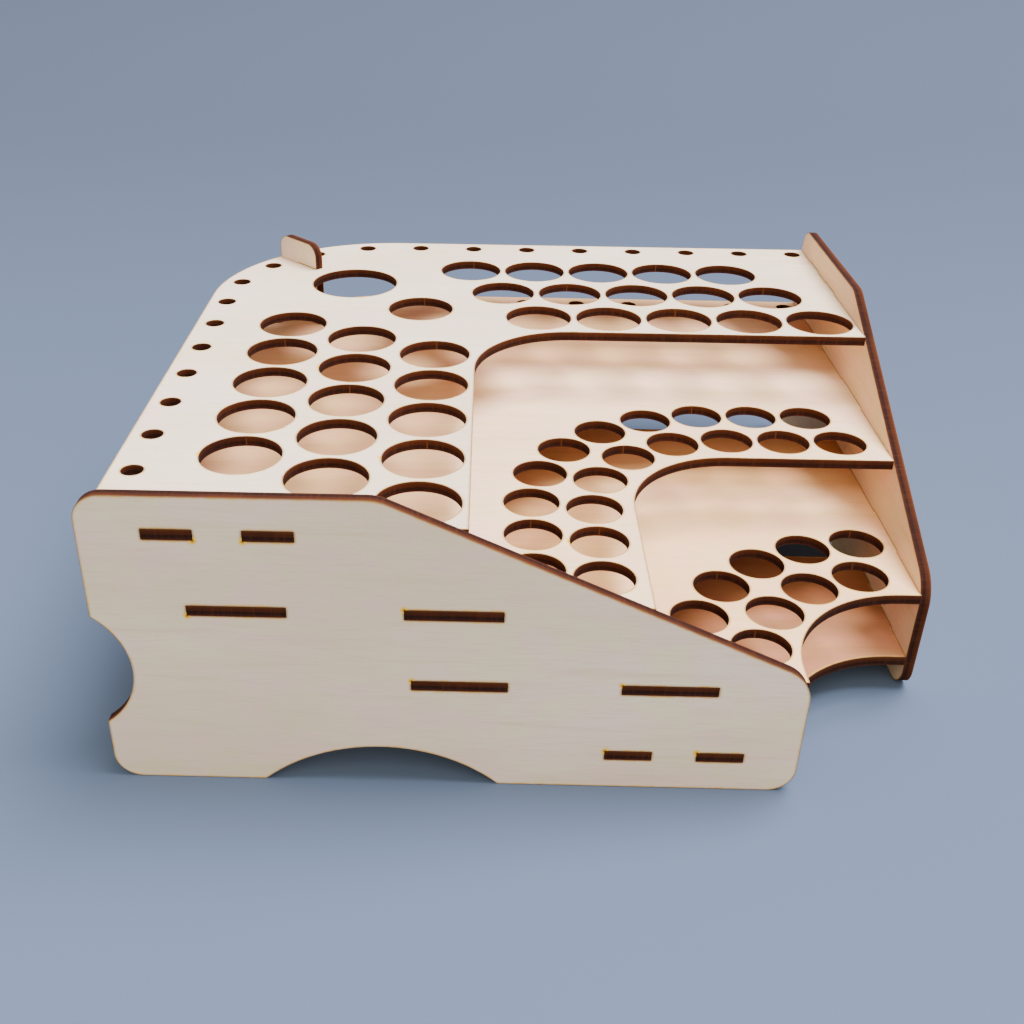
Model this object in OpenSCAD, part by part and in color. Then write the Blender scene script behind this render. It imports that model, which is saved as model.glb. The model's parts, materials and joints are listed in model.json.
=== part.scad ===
// Corner paint rack: four plywood shelves that step down towards the front, two side
// panels at the open ends and a rib across the rounded rear corner.
// The origin is at the middle of the footprint, on the table. The left panel faces -Y,
// the right panel faces +X and the rounded rear corner points to -X +Y.

/* [Rack] */
// Width of the square footprint, across the outer faces of the panels
rack_w = 378; // [374:1:400]
// Thickness of the plywood
sheet_t = 5; // [4:0.5:6]
// Radius of the rounded rear corner of the top and middle shelves
rear_corner_r = 105; // [95:1:110]

/* [Side panels] */
// Height of the panels at the rear
panel_h = 145; // [142:1:155]
// Length of a panel from the rear edge to the front edge
panel_depth = 304; // [300:1:310]
// Length of the level top edge, measured from the rear edge
panel_flat = 121; // [110:1:125]
// Height of the front edge where the sloping top edge meets it
panel_front_h = 61.5; // [59:0.5:64]
// Radius of the square corners
panel_corner_r = 12; // [6:1:14]
// Radius of the corner between the slope and the front edge
panel_nose_r = 18; // [8:1:20]
// Radius of the blend where the slope starts
panel_bend_r = 20; // [5:1:40]
// Width of the arch in the bottom edge
arch_w = 104; // [80:1:110]
// Rise of the arch
arch_rise = 20; // [10:1:22]
// Distance of the arch centre from the rear edge
arch_mid = 119.5; // [100:0.5:130]
// Radius of the hand notch in the rear edge
notch_r = 34; // [28:1:36]
// Depth of the hand notch
notch_depth = 14.5; // [10:0.5:16]
// Height of the middle of the hand notch
notch_mid_h = 59; // [54:1:62]

/* [Shelves] */
// Height of the upper face of the top shelf
top_shelf_h = 130; // [129:0.5:132]
// Height from one shelf to the next
tier_pitch = 36.5; // [36:0.5:37]
// Distance from the rear edge to the front edge of the top shelf
top_front = 157; // [156:1:165]
// Distance from the rear edge to the front edge of the middle shelf
middle_front = 235; // [233:1:240]
// Distance from the rear edge to the front edge of the two lowest shelves
lower_front = 304; // [302:1:306]
// Distance from the rear of the rack to the rear edge of the lower shelf
lower_back = 128; // [115:1:130]
// Distance from the rear of the rack to the rear edge of the base shelf
base_back = 212; // [200:1:214]
// Radius of the inside curve of the top and middle shelves
upper_inside_r = 53; // [48:1:56]
// Radius of the inside curve of the two lowest shelves
lower_inside_r = 60; // [56:1:62]
// Radius of the rear corner of the lower shelf
lower_corner_r = 120; // [60:1:125]
// Radius of the rear corner of the base shelf
base_corner_r = 60; // [30:1:65]

/* [Large bottle holes] */
// Diameter of the large bottle holes
large_hole_d = 37; // [30:0.5:38]
// Diameter of the jar hole in the corner
jar_hole_d = 51; // [40:1:54]
// Pitch of the large holes along a row
large_pitch = 40; // [39:0.5:40]
// Distance of the first row from the rear edge
large_row_first = 54.5; // [52:0.5:56]
// Distance from one row to the next
large_row_gap = 40.5; // [39:0.5:41]
// Distance of the first hole of the first row from the corner
large_row_start = 152.5; // [150:0.5:154]
// Number of large holes in a row
large_per_row = 5; // [1:1:5]
// Distance of the single large hole from both rear edges
single_hole_at = 124.5; // [122:0.5:126]
// Distance of the jar hole from both rear edges
jar_hole_at = 82; // [78:1:84]

/* [Small bottle holes] */
// Diameter of the small bottle holes
small_hole_d = 27; // [22:0.5:28]
// Pitch of the small holes along their curved rows
small_pitch = 29.8; // [29:0.1:30]
// Distance between the two rows of a shelf
small_row_gap = 29.8; // [29:0.1:32]
// Distance of the front row of the middle shelf from the front edge
middle_row_inset = 19.5; // [17:0.5:21]
// Distance of the front row of the lower shelf from the front edge
lower_row_inset = 17.5; // [16:0.5:21]
// Shift of the rear row of the middle shelf towards the left panel
rear_row_shift = 3.2; // [0:0.2:6]

/* [Brush holes] */
// Diameter of the brush holes
brush_hole_d = 10; // [6:0.5:12]
// Distance of the brush holes from the rear edge
brush_inset = 10.5; // [8:0.5:12]
// Number of brush holes in a shelf
brush_count = 20; // [2:1:20]
// Distance of the last brush holes from the outer faces of the panels
brush_end = 14; // [12:1:20]

/* [Joints] */
// Length of the tabs of the top shelf and the base shelf
short_tab = 20.5; // [15:0.5:22]
// Length of the tabs of the middle shelf and the lower shelf
long_tab = 41; // [30:1:44]
// Distance between the tab centres of the top shelf and the base shelf
short_tab_gap = 40.5; // [38:0.5:44]
// Distance between the tab centres of the middle shelf and the lower shelf
long_tab_gap = 90; // [80:1:92]
// How far the tab ends stay behind the outer face of a panel
tab_recess = 0.3; // [0:0.1:1]
// Clearance of a slot at each end and above the tab
slot_gap = 0.2; // [0:0.05:0.4]
// Length of the corner rib along the diagonal
rib_len = 37; // [30:1:40]
// Radius of the upper corners of the corner rib
rib_corner_r = 8; // [2:1:12]

/* [Hidden] */
$fn = 96;

inner_face = rack_w - sheet_t;
shelf_h = [for (tier = [0 : 3]) top_shelf_h - tier * tier_pitch];
// Middle of each shelf's pair of tabs, measured from the rear edge
tab_mid = [57, 106.5, 199, 249];
tab_len = [short_tab, long_tab, long_tab, short_tab];
tab_gap = [short_tab_gap, long_tab_gap, long_tab_gap, short_tab_gap];
// How far a tab reaches into its shelf, so that the two are one piece
tab_root = 1;
slope_angle = atan((panel_h - panel_front_h) / (panel_depth - panel_flat));
arch_r = (pow(arch_w / 2, 2) + pow(arch_rise, 2)) / (2 * arch_rise);
// Start, middle and end of the rib along the diagonal, measured from the square corner
rib_start = rear_corner_r * (sqrt(2) - 1);
rib_end = rib_start + rib_len;
rib_mid = rib_start + rib_len / 2;
// Tools that open a notch or a slot at an edge reach this far past it
overrun = 20;
// How far the tool for a rounded corner reaches past the outline
corner_margin = 2;

// ---- Points. Shelf outlines use [distance from the left edge, distance from the rear edge].

// A point on a line that runs along one rear edge, round the corner and along the other.
// s is measured from the diagonal, offset from the rear edges; centre is the corner's centre.
function path_point(s, offset, centre) =
    let (r = centre - offset, half = r * PI / 4, turn = 45 + s / r * 180 / PI)
    s > half ? [centre + s - half, offset]
    : s < -half ? [offset, centre - s - half]
    : [centre - r * cos(turn), centre - r * sin(turn)];

function path_row(count, pitch, offset, centre, shift = 0) =
    [for (i = [0 : count - 1]) path_point((i - (count - 1) / 2) * pitch + shift, offset, centre)];

// Where a tab begins, measured from the rear edge; end is -1 for the rear tab and 1 for the front one
function tab_start(tier, end) = tab_mid[tier] + end * tab_gap[tier] / 2 - tab_len[tier] / 2;

function swapped(points) = [for (p = points) [p[1], p[0]]];

large_rows = [for (row = [0 : 2], i = [0 : large_per_row - 1]) [
    large_row_start + row * large_pitch / 2 + i * large_pitch,
    large_row_first + row * large_row_gap]];

brush_half = rack_w - brush_end - rear_corner_r + (rear_corner_r - brush_inset) * PI / 4;
brush_points = path_row(brush_count, 2 * brush_half / (brush_count - 1), brush_inset, rear_corner_r);

// ---- Flat shapes

// What a round of radius r cuts from the corner at p, between edges that leave at angles a1
// and a2. It is grown away from the round's centre, so that it shares no edge with the outline.
module corner_waste(p, a1, a2, r) {
    half = (a2 - a1) / 2;
    tangent = r / tan(half);
    corner = -r / sin(half) * [cos(a1 + half), sin(a1 + half)];
    translate(p - corner)
        difference() {
            scale((r + corner_margin) / r)
                polygon([[0, 0], corner + tangent * [cos(a1), sin(a1)], corner,
                    corner + tangent * [cos(a2), sin(a2)]]);
            circle(r);
        }
}

// What fills the inside corner at p up to a round of radius r
module inside_curve(p, r) {
    translate(p)
        difference() {
            square(r);
            translate([r, r]) circle(r);
        }
}

module holes(points, d) {
    for (p = points) translate(p) circle(d = d);
}

// A shelf between both panels: two arms from the rear edge to the front edge, with an inside
// curve between them and a rounded rear corner
module shelf_outline(back, front, inside_r, corner_r) {
    difference() {
        union() {
            translate([back, back]) square([inner_face - back, front - back]);
            translate([back, back]) square([front - back, inner_face - back]);
            inside_curve([front, front], inside_r);
        }
        corner_waste([back, back], 0, 90, corner_r);
    }
}

module tabs(tier) {
    reach = tab_root + sheet_t - tab_recess;
    for (end = [-1, 1]) {
        translate([inner_face - tab_root, tab_start(tier, end)]) square([reach, tab_len[tier]]);
        translate([tab_start(tier, end), inner_face - tab_root]) square([tab_len[tier], reach]);
    }
}

// The slot that lets a shelf onto the rib, open at the rounded rear corner
module rib_slot() {
    rotate(45)
        translate([0, -sheet_t / 2]) square([rib_mid, sheet_t]);
}

module panel_outline() {
    front_corner = [panel_depth, panel_front_h];
    difference() {
        polygon([[0, 0], [panel_depth, 0], front_corner, [panel_flat, panel_h], [0, panel_h]]);
        corner_waste([0, 0], 0, 90, panel_corner_r);
        corner_waste([panel_depth, 0], 90, 180, panel_corner_r);
        corner_waste(front_corner, 180 - slope_angle, 270, panel_nose_r);
        corner_waste([panel_flat, panel_h], 180, 360 - slope_angle, panel_bend_r);
        corner_waste([0, panel_h], 270, 360, panel_corner_r);
        translate([arch_mid, arch_rise - arch_r]) circle(arch_r);
        translate([notch_depth - notch_r, notch_mid_h]) circle(notch_r);
        for (tier = [0 : 3], end = [-1, 1])
            translate([tab_start(tier, end) - slot_gap, shelf_h[tier] - sheet_t])
                square([tab_len[tier] + 2 * slot_gap, sheet_t + slot_gap]);
    }
}

// Rib seen from its side, with its distance from the square corner along X and height along Y
module rib_outline() {
    difference() {
        translate([rib_start, 0]) square([rib_len, panel_h]);
        corner_waste([rib_start, panel_h], 270, 360, rib_corner_r);
        corner_waste([rib_end, panel_h], 180, 270, rib_corner_r);
        for (tier = [0, 1])
            translate([rib_mid, shelf_h[tier] - sheet_t])
                square([rib_len / 2 + overrun, sheet_t + slot_gap]);
    }
}

// ---- Placing

// Lays a flat shelf shape into the rack at the height of its tier
module place_shelf(tier) {
    translate([-rack_w / 2, rack_w / 2, shelf_h[tier] - sheet_t])
        mirror([0, 1, 0])
            linear_extrude(sheet_t) children();
}

// ---- Pieces

module side_panel_left() {
    color("Tan")
        translate([-rack_w / 2, sheet_t - rack_w / 2, 0])
            rotate([90, 0, 0])
                linear_extrude(sheet_t) panel_outline();
}

module side_panel_right() {
    color("Tan")
        mirror([1, 1, 0]) side_panel_left();
}

module top_shelf() {
    color("Wheat")
        place_shelf(0) {
            difference() {
                shelf_outline(0, top_front, upper_inside_r, rear_corner_r);
                holes(large_rows, large_hole_d);
                holes(swapped(large_rows), large_hole_d);
                holes([[single_hole_at, single_hole_at]], large_hole_d);
                holes([[jar_hole_at, jar_hole_at]], jar_hole_d);
                holes(brush_points, brush_hole_d);
                rib_slot();
            }
            tabs(0);
        }
}

module middle_shelf() {
    centre = middle_front + upper_inside_r;
    front_row = middle_front - middle_row_inset;
    color("Wheat")
        place_shelf(1) {
            difference() {
                shelf_outline(0, middle_front, upper_inside_r, rear_corner_r);
                holes(path_row(9, small_pitch, front_row, centre), small_hole_d);
                holes(path_row(10, small_pitch, front_row - small_row_gap, centre, -rear_row_shift),
                    small_hole_d);
                holes(brush_points, brush_hole_d);
                rib_slot();
            }
            tabs(1);
        }
}

module lower_shelf() {
    centre = lower_front + lower_inside_r;
    front_row = lower_front - lower_row_inset;
    color("Wheat")
        place_shelf(2) {
            difference() {
                shelf_outline(lower_back, lower_front, lower_inside_r, lower_corner_r);
                holes(path_row(4, small_pitch, front_row, centre), small_hole_d);
                holes(path_row(6, small_pitch, front_row - small_row_gap, centre), small_hole_d);
            }
            tabs(2);
        }
}

module base_shelf() {
    color("Wheat")
        place_shelf(3) {
            shelf_outline(base_back, lower_front, lower_inside_r, base_corner_r);
            tabs(3);
        }
}

module corner_rib() {
    color("Tan")
        translate([-rack_w / 2, rack_w / 2, 0])
            rotate([0, 0, -45])
                rotate([90, 0, 0])
                    translate([0, 0, -sheet_t / 2])
                        linear_extrude(sheet_t) rib_outline();
}

side_panel_left();
side_panel_right();
top_shelf();
middle_shelf();
lower_shelf();
base_shelf();
corner_rib();
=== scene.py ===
"""Looks for the corner paint rack: laser-cut birch plywood with burnt edges, in a soft studio."""

import json
import math

import bmesh
import bpy
from mathutils import Euler, Matrix, Vector


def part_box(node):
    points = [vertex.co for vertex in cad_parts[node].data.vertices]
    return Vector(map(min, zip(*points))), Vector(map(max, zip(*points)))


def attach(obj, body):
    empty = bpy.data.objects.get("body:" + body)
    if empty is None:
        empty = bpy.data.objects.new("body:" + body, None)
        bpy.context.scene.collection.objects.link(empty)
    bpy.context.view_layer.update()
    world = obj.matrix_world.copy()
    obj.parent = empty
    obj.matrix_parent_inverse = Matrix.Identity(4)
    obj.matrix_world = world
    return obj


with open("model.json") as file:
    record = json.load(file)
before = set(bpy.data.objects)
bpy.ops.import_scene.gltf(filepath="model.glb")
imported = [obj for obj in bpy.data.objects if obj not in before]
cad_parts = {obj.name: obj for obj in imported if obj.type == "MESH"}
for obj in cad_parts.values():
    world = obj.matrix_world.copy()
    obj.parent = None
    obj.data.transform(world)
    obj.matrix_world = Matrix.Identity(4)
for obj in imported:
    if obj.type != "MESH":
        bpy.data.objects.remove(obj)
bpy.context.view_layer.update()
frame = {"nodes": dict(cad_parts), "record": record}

MM = 0.001
BOXES = {node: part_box(node) for node in frame["nodes"]}
SHELVES = ("top_shelf", "middle_shelf", "lower_shelf", "base_shelf")
SHEET_T = BOXES["top_shelf"][1].z - BOXES["top_shelf"][0].z

# Camera, as fitted to the object: place, turn in degrees, lens and the small shift of the frame
CAMERA_PLACE = (-0.0278, -0.5862, 0.3706)
CAMERA_TURN = (59.58, -0.62, 1.275)
CAMERA_LENS = 41.37
CAMERA_SHIFT = (0.0473, 0.0075)

# Lights: place, size of the square panel, power in watts and colour
KEY_LIGHT = ((2.85, 1.2, 8.1), 5.8, 2900.0, (0.76, 0.80, 1.0))
FRONT_LIGHT = ((0.05, -1.35, 1.25), 1.2, 22.0, (1.0, 0.98, 0.97))
SKY = (0.88, 0.92, 1.0)
SKY_STRENGTH = 0.9
LIGHTS_AIM = (0, 0, 0.05)

# Colours of the wood's faces, linear RGB
CREAM = (0.80, 0.63, 0.45)
PALE = (0.86, 0.71, 0.53)
TAN = (0.70, 0.51, 0.32)
PINKISH = (1.0, 0.94, 0.945)
YELLOWISH = (0.96, 0.985, 0.86)
STAIN = (0.82, 0.47, 0.11)
CHAR = (0.07, 0.026, 0.011)
SCORCH = (0.90, 0.50, 0.02)
SCORCH_HEART = (0.34, 0.12, 0.015)

# Colours of the cut edges
BURNT = (0.056, 0.014, 0.005)
SCORCHED = (0.115, 0.034, 0.010)
CORE = (0.020, 0.007, 0.004)
BACK_VENEER = (0.040, 0.011, 0.007)
RIM = (0.24, 0.088, 0.018)
START_MARK = (0.105, 0.034, 0.010)

# Tints that the wood's colours are multiplied by. They stand in for shading: the soft light alone
# leaves the lower and inner faces paler than in the photo, though the real wood is one colour.
SHELF_TINTS = {
    "top_shelf": (1.02, 0.99, 0.955),
    "middle_shelf": (1.14, 0.95, 0.76),
    "lower_shelf": (1.15, 0.86, 0.58),
    "base_shelf": (0.68, 0.37, 0.23),
}
# Painted shade: the undersides of the shelves and the inner faces of the panels, warmer and darker
UNDERSIDE_SHADE_TINT = (0.80, 0.56, 0.36)
PANEL_TINT = (0.985, 0.965, 0.965)
PANEL_INSIDE_SHADE_TINT = (1.0, 0.84, 0.66)
RIB_TINT = (0.95, 0.92, 0.89)
# Painted shade on the wood under the shelf above
UNDER_SHELF_SHADE_TINT = (0.70, 0.60, 0.48)

WOOD_SPECULAR = 0.1

# Colours of the floor in front and at the back, where painted shade darkens it for the light's
# falloff
FLOOR_NEAR = (0.082, 0.109, 0.146)
FLOOR_FAR_SHADED = (0.047, 0.062, 0.085)
FLOOR_SIZE = 40.0
# The floor lies this much below the rack, so that the two never share a surface
FLOOR_DROP = 0.2 * MM

# Reach of the smoke stain round a cut, and the depth over which the painted shade under a shelf
# deepens
STAIN_REACH = 2.4 * MM
UNDER_SHELF_SHADE_FADE = 14 * MM
# How far light comes in under the front edge of a right arm
UNDER_SHELF_SHADE_SETBACK = 30 * MM

# Start marks: one in so many holes, how far each stands proud of the hole's wall, its depth, its
# width, and how much shorter than the wall it is
MARK_EVERY = 3
MARK_PROUD = 0.06 * MM
MARK_DEPTH = 0.3 * MM
MARK_WIDTH = 0.7 * MM
MARK_SHORTER = 0.5 * MM

# Where the cutter burned in at a panel slot, for each shelf: (slot from the rear, end from
# the rear, side), with 0 the rear slot, the rear end and the lower side
SCORCHED_CORNERS = {
    "top_shelf": ((0, 1, 0), (1, 0, 0)),
    "middle_shelf": ((0, 0, 0), (1, 0, 1)),
    "lower_shelf": ((0, 0, 1), (1, 0, 1)),
    "base_shelf": ((0, 0, 1), (1, 0, 1)),
}
# Holes with a yellow burn at their left side
SCORCHED_HOLES = ("top_left_arm_row1_hole5", "top_left_arm_row3_hole4", "top_left_arm_row2_hole2",
                  "middle_front_row_hole2", "top_right_arm_row2_hole4")


# ---- Node helpers

class Graph:
    """A material's node tree, with one short call for each kind of node."""

    def __init__(self, name):
        self.material = bpy.data.materials.new(name)
        self.material.use_nodes = True
        self.tree = self.material.node_tree
        self.tree.nodes.clear()

    def node(self, kind, **settings):
        made = self.tree.nodes.new(kind)
        for key, value in settings.items():
            setattr(made, key, value)
        return made

    def put(self, socket, value):
        """Links an output to a socket, or sets the socket to a plain value."""
        if isinstance(value, bpy.types.NodeSocket):
            self.tree.links.new(value, socket)
        elif value is not None:
            socket.default_value = value

    def math(self, operation, a, b=None, c=None):
        made = self.node("ShaderNodeMath", operation=operation)
        for socket, value in zip(made.inputs, (a, b, c)):
            self.put(socket, value)
        return made.outputs[0]

    def vector(self, operation, a, b=None):
        made = self.node("ShaderNodeVectorMath", operation=operation)
        self.put(made.inputs[0], a)
        self.put(made.inputs[1], b)
        return made

    def dot(self, a, b):
        return self.vector("DOT_PRODUCT", a, b).outputs["Value"]

    def ramp(self, value, low, high, to_low=0.0, to_high=1.0, smooth=True):
        made = self.node("ShaderNodeMapRange")
        made.interpolation_type = "SMOOTHSTEP" if smooth else "LINEAR"
        for socket, number in zip(made.inputs[1:5], (low, high, to_low, to_high)):
            socket.default_value = number
        self.put(made.inputs[0], value)
        return made.outputs[0]

    def mix(self, factor, a, b, blend="MIX"):
        made = self.node("ShaderNodeMix", data_type="RGBA", blend_type=blend)
        self.put(made.inputs["Factor"], factor)
        for socket, value in ((made.inputs[6], a), (made.inputs[7], b)):
            self.put(socket, value if isinstance(value, bpy.types.NodeSocket) else (*value, 1.0))
        return made.outputs[2]

    def tint(self, colour, by):
        return self.mix(1.0, colour, by, "MULTIPLY")

    def shader(self, colour, roughness, specular):
        """A Principled shader, wired to the material's output. specular is a plain number."""
        made = self.node("ShaderNodeBsdfPrincipled")
        self.put(made.inputs["Base Color"], colour)
        self.put(made.inputs["Roughness"], roughness)
        made.inputs["Specular IOR Level"].default_value = specular
        self.put(self.node("ShaderNodeOutputMaterial").inputs["Surface"], made.outputs[0])
        return made


# ---- Plywood

class Sheet(Graph):
    """The plywood of one sheet. across is the sheet's normal, grain the way the fibres run, middle
    a point in its mid plane, and seed sets its figure apart from the other sheets'."""

    def __init__(self, name, across, grain, middle, seed):
        super().__init__(name)
        self.across, self.grain = Vector(across).normalized(), Vector(grain).normalized()
        self.side = self.across.cross(self.grain)
        self.middle = Vector(middle)
        self.shift = (seed * 1.7, seed * 3.1, seed * 0.9)
        self.place = self.node("ShaderNodeTexCoord").outputs["Object"]
        self.normal = self.node("ShaderNodeNewGeometry").outputs["True Normal"]
        self.facing = self.dot(self.normal, tuple(self.across))
        self.on_edge = self.ramp(self.math("ABSOLUTE", self.facing), 0.75, 0.55, smooth=False)
        self.flow = self.figure((9, 150, 9), 4.0, 0.6, 0.4)
        self.fibres = self.figure((60, 1500, 60), 3.0, 0.65)
        self.patchy = self.figure((210, 210, 210), 2.0)
        self.streaks = self.figure((700, 700, 30), 3.0, 0.6)

    def figure(self, fineness, detail, roughness=0.5, distortion=0.0):
        """Noise with so many features a metre along the grain, beside it and across the sheet."""
        joined = self.node("ShaderNodeCombineXYZ")
        axes = (self.grain, self.side, self.across)
        for socket, axis, factor, move in zip(joined.inputs, axes, fineness, self.shift):
            along = self.dot(self.place, tuple(axis))
            self.put(socket, self.math("MULTIPLY_ADD", along, factor, move))
        made = self.node("ShaderNodeTexNoise")
        self.put(made.inputs["Vector"], joined.outputs[0])
        made.inputs["Scale"].default_value = 1.0
        made.inputs["Detail"].default_value = detail
        made.inputs["Roughness"].default_value = roughness
        made.inputs["Distortion"].default_value = distortion
        return made.outputs["Fac"]

    def wood(self):
        """Broad colour patches, long soft grain, short fine fibres, pores and a blotchy hue."""
        broad = self.figure((7, 16, 7), 3.0)
        mottle = self.figure((36, 58, 36), 4.0, 0.6, 0.3)
        pores = self.figure((170, 2600, 170), 1.0)
        colour = self.mix(self.ramp(broad, 0.35, 0.68), CREAM, PALE)
        colour = self.mix(self.ramp(self.flow, 0.50, 0.76, 0.0, 0.45), colour, TAN)
        colour = self.mix(self.ramp(self.fibres, 0.46, 0.74, 0.0, 0.5), colour, TAN)
        colour = self.mix(self.ramp(pores, 0.66, 0.76, 0.0, 0.35), colour, TAN)
        return self.tint(colour, self.mix(self.ramp(mottle, 0.40, 0.60), PINKISH, YELLOWISH))

    def two_sided(self, colour, front, back):
        """Tints the face that looks along across by front, and the other one by back, both as painted
        shade.
        """
        on_back = self.ramp(self.facing, -0.4, -0.6, smooth=False)
        return self.tint(colour, self.mix(on_back, front, back))

    def sheltered(self, colour, left_of, behind):
        """Paints shade on the wood under the shelf above: left of an x and behind a y."""
        under_left = self.math("SUBTRACT", left_of, self.dot(self.place, (1, 0, 0)))
        under_right = self.math("SUBTRACT", self.dot(self.place, (0, 1, 0)), behind)
        under = self.math("MAXIMUM", under_left, under_right)
        deeper = self.tint(colour, UNDER_SHELF_SHADE_TINT)
        return self.mix(self.ramp(under, 0.0, UNDER_SHELF_SHADE_FADE), colour, deeper)

    def smoked(self, colour):
        """Adds an uneven smoke stain round the cuts and a charred line at the very edge."""
        rounded = self.node("ShaderNodeBevel", samples=8)
        rounded.inputs["Radius"].default_value = STAIN_REACH
        bend = self.vector("CROSS_PRODUCT", rounded.outputs[0], self.normal).outputs[0]
        nearness = self.ramp(self.vector("LENGTH", bend).outputs["Value"], 0.0, 0.7, smooth=False)
        unevenness = self.ramp(self.patchy, 0.35, 0.65, 0.35, 1.0)
        stain = self.math("MULTIPLY", self.ramp(nearness, 0.02, 0.5, 0.0, 0.9), unevenness)
        colour = self.mix(stain, colour, STAIN)
        return self.mix(self.ramp(nearness, 0.55, 0.85, 0.0, 0.8), colour, CHAR)

    def scorched(self, colour, points):
        """Adds a yellow burn with a brown heart at each point where the cutter burned in."""
        for point in points:
            away = self.vector("DISTANCE", self.place, tuple(point)).outputs["Value"]
            reach = self.math("MULTIPLY_ADD", self.patchy, 2.0 * MM, 0.7 * MM)
            hot = self.math("DIVIDE", away, reach)
            colour = self.mix(self.ramp(hot, 1.3, 0.5, 0.0, 0.95), colour, SCORCH)
            colour = self.mix(self.ramp(hot, 0.6, 0.2, 0.0, 0.8), colour, SCORCH_HEART)
        return colour

    def cut_edge(self):
        """Burnt veneers either side of a darker core, with streaks that the cutter left."""
        middle = self.across.dot(self.middle)
        depth = self.math("SUBTRACT", self.dot(self.place, tuple(self.across)), middle)
        depth = self.math("DIVIDE", depth, SHEET_T)
        wander = self.figure((35, 35, 35), 2.0)
        layer = self.math("ADD", depth, self.ramp(wander, 0.0, 1.0, -0.05, 0.05))
        smoke = self.figure((40, 40, 40), 3.0)
        colour = self.mix(self.ramp(layer, -0.10, 0.08), CORE, BURNT)
        colour = self.mix(self.ramp(layer, -0.25, -0.36), colour, BACK_VENEER)
        colour = self.mix(self.ramp(layer, 0.22, 0.42, 0.0, 0.6), colour, SCORCHED)
        colour = self.mix(self.ramp(self.streaks, 0.42, 0.75, 0.0, 0.25), colour, SCORCHED)
        colour = self.mix(self.ramp(smoke, 0.45, 0.72, 0.0, 0.45), colour, CORE)
        colour = self.mix(self.ramp(depth, 0.435, 0.49, 0.0, 0.6), colour, RIM)
        return self.mix(self.ramp(depth, -0.43, -0.49, 0.0, 0.6), colour, SCORCHED)

    def relief(self):
        """Fibres on the faces and cutter streaks on the edges, as a bumped normal."""
        fibres = self.math("MULTIPLY", self.fibres, 0.7)
        flow = self.math("MULTIPLY", self.flow, 0.5)
        height = self.node("ShaderNodeMix", data_type="FLOAT")
        self.put(height.inputs["Factor"], self.on_edge)
        self.put(height.inputs[2], self.math("ADD", fibres, flow))
        self.put(height.inputs[3], self.math("MULTIPLY", self.streaks, 2.2))
        bump = self.node("ShaderNodeBump")
        bump.inputs["Strength"].default_value = 0.35
        bump.inputs["Distance"].default_value = 0.12 * MM
        self.put(bump.inputs["Height"], height.outputs[0])
        return bump.outputs[0]


def plywood(node, across, grain, seed, front, back, scorches=(), shelter=None):
    """The material of one node's sheet. front and back tint its two faces with painted shade,
    scorches are points where the cutter burned in, and the last gives where painted shade from the
    shelf above reaches, as an x and a y."""
    low, high = BOXES[node]
    sheet = Sheet(f"{node}_birch", across, grain, (low + high) / 2, seed)
    colour = sheet.two_sided(sheet.wood(), front, back)
    if shelter:
        colour = sheet.sheltered(colour, *shelter)
    colour = sheet.scorched(sheet.smoked(colour), scorches)
    colour = sheet.mix(sheet.on_edge, colour, sheet.cut_edge())
    roughness = sheet.math("MAXIMUM", sheet.ramp(sheet.flow, 0.3, 0.8, 0.56, 0.72), sheet.on_edge)
    shader = sheet.shader(colour, roughness, WOOD_SPECULAR)
    sheet.put(shader.inputs["Normal"], sheet.relief())
    return sheet.material


# ---- Pieces

def dress(node, *look, **extras):
    """Gives a CAD node its plywood."""
    slots = frame["nodes"][node].data.materials
    slots.clear()
    slots.append(plywood(node, *look, **extras))


def corners_of(node):
    return [vertex.co for vertex in frame["nodes"][node].data.vertices]


def bottle_holes():
    """The bottle holes: name, centre in the middle of the sheet and radius."""
    return [(mount["name"], Vector(mount["pos_m"]), mount["dims"]["r_mm"] * MM)
            for mount in frame["record"]["mounts"]
            if mount["kind"] == "bore" and not mount["name"].startswith("brush")]


def shelf_of(point):
    return next(node for node in SHELVES if BOXES[node][0].z < point.z < BOXES[node][1].z)


def scorched_at_holes(node):
    top = BOXES[node][1].z
    return [Vector((centre.x - radius, centre.y, top)) for name, centre, radius in bottle_holes()
            if name in SCORCHED_HOLES and shelf_of(centre) == node]


def scorched_at_slots(node):
    """Corners of a panel's slots where the cutter burned in: on its outer face, and on its inner
    face where the front tab of each shelf begins."""
    low, high = BOXES[node]
    left = node == "side_panel_left"
    along, face, outer, inner = (0, 1, low.y, high.y) if left else (1, 0, high.x, low.x)
    # Tabs end just inside a panel's outer face, and the rest of a shelf is further in
    tab_reach = SHEET_T * 0.6
    points = []

    def add(shelf_z, end, face_place):
        point = Vector((0, 0, shelf_z))
        point[along], point[face] = end, face_place
        points.append(point)

    for shelf, corners in SCORCHED_CORNERS.items():
        bottom, top = BOXES[shelf][0].z, BOXES[shelf][1].z
        tabs = [corner for corner in corners_of(shelf) if abs(corner[face] - outer) < tab_reach]
        ends = sorted({round(corner[along], 4) for corner in tabs}, reverse=not left)
        for slot, end, side in corners:
            add(top if side else bottom, ends[2 * slot + end], outer)
        add(top, ends[2], inner)
    return points


def shelter_below(node):
    """Where shade is painted on the wood below a shelf: left of the left arm's inner edge, and behind
    the right arm's, where light still comes in under the front edge."""
    low, high = BOXES[node]
    at_panel = SHEET_T * 1.2
    left_edge = max(corner.x for corner in corners_of(node) if corner.y < low.y + at_panel)
    right_edge = min(corner.y for corner in corners_of(node) if corner.x > high.x - at_panel)
    return left_edge, right_edge + UNDER_SHELF_SHADE_SETBACK


def dress_shelves():
    for index, node in enumerate(SHELVES):
        shelter = shelter_below(SHELVES[index - 1]) if index else None
        dress(node, (0, 0, 1), (1, 0, 0), index + 1.0, SHELF_TINTS[node], UNDERSIDE_SHADE_TINT,
              scorches=scorched_at_holes(node), shelter=shelter)


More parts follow.
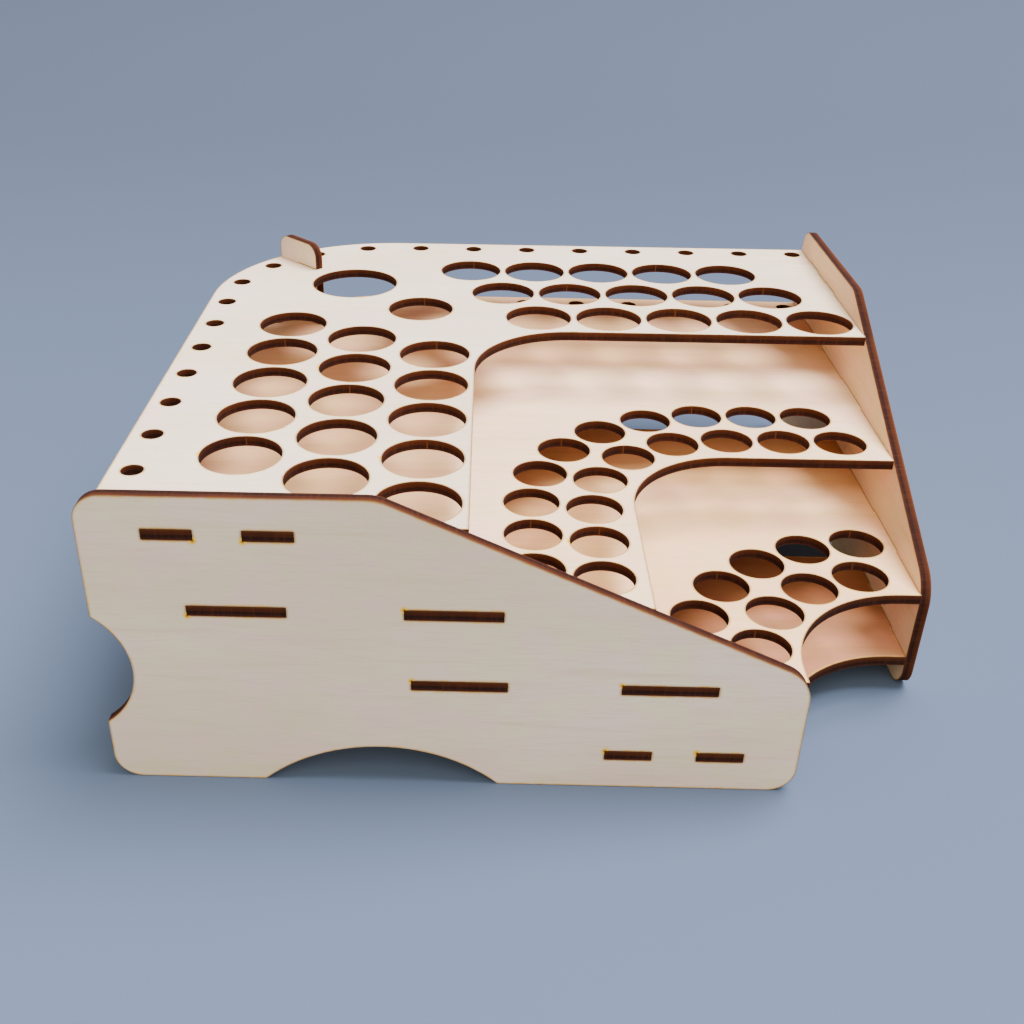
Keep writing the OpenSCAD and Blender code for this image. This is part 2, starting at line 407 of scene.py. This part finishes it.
def dress_panels():
    dress("side_panel_left", (0, -1, 0), (1, 0, 0), 6.0, PANEL_TINT, PANEL_INSIDE_SHADE_TINT,
          scorches=scorched_at_slots("side_panel_left"))
    dress("side_panel_right", (1, 0, 0), (0, 1, 0), 7.0, PANEL_TINT, PANEL_INSIDE_SHADE_TINT,
          scorches=scorched_at_slots("side_panel_right"))
    dress("corner_rib", (1, 1, 0), (0, 0, 1), 9.0, RIB_TINT, RIB_TINT)


def start_mark_material():
    g = Graph("start_mark_burn")
    g.shader((*START_MARK, 1.0), 0.9, 0.1)
    return g.material


def add_start_mark(mesh, centre, radius, index):
    """Adds one ridge to the far wall of a hole, a few degrees to either side by its index."""
    turn = math.radians(90 + (index * 7) % 11 - 5)
    size = Vector((MARK_DEPTH, MARK_WIDTH, SHEET_T - MARK_SHORTER))
    out = Vector((math.cos(turn), math.sin(turn), 0))
    place = centre + out * (radius + MARK_DEPTH / 2 - MARK_PROUD)
    bmesh.ops.create_cube(mesh, size=1.0, matrix=Matrix.LocRotScale(place, Euler((0, 0, turn)), size))


def add_start_marks():
    """Thin ridges of char down the far wall of every third hole, where the cutter started."""
    material = start_mark_material()
    for node in SHELVES:
        mesh = bmesh.new()
        for index, (_, centre, radius) in enumerate(bottle_holes()):
            if shelf_of(centre) == node and index % MARK_EVERY == 0:
                add_start_mark(mesh, centre, radius, index)
        if mesh.faces:
            data = bpy.data.meshes.new(f"{node}_start_marks")
            mesh.to_mesh(data)
            data.materials.append(material)
            piece = bpy.data.objects.new(f"{node}_start_marks", data)
            bpy.context.scene.collection.objects.link(piece)
            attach(piece, "root")
        mesh.free()


# ---- Studio

def make_camera():
    data = bpy.data.cameras.new("camera")
    data.lens = CAMERA_LENS
    data.shift_x, data.shift_y = CAMERA_SHIFT
    camera = bpy.data.objects.new("camera", data)
    camera.location = CAMERA_PLACE
    camera.rotation_euler = [math.radians(angle) for angle in CAMERA_TURN]
    bpy.context.scene.collection.objects.link(camera)
    bpy.context.scene.camera = camera


def floor_paint():
    """Matt pale blue, with painted shade that makes it a little deeper towards the back."""
    g = Graph("floor_pale")
    depth = g.dot(g.node("ShaderNodeTexCoord").outputs["Object"], (0, 1, 0))
    g.shader(g.mix(g.ramp(depth, -0.6, 1.3), FLOOR_NEAR, FLOOR_FAR_SHADED), 0.9, 0.5)
    return g.material


def make_floor():
    bpy.ops.mesh.primitive_plane_add(size=FLOOR_SIZE, location=(0, 0, -FLOOR_DROP))
    floor = bpy.context.object
    floor.name = "floor"
    floor.data.materials.append(floor_paint())


def area_light(name, place, size, power, colour):
    """A square light that faces the rack."""
    data = bpy.data.lights.new(name, "AREA")
    data.size = size
    data.energy = power
    data.color = colour
    lamp = bpy.data.objects.new(name, data)
    lamp.location = place
    way = Vector(LIGHTS_AIM) - Vector(place)
    lamp.rotation_euler = way.to_track_quat("-Z", "Y").to_euler()
    bpy.context.scene.collection.objects.link(lamp)


def make_lights():
    world = bpy.data.worlds.new("studio")
    world.use_nodes = True
    sky = world.node_tree.nodes["Background"]
    sky.inputs["Color"].default_value = (*SKY, 1.0)
    sky.inputs["Strength"].default_value = SKY_STRENGTH
    bpy.context.scene.world = world
    area_light("key_light", *KEY_LIGHT)
    area_light("front_light", *FRONT_LIGHT)


make_camera()
make_floor()
make_lights()
dress_shelves()
dress_panels()
add_start_marks()
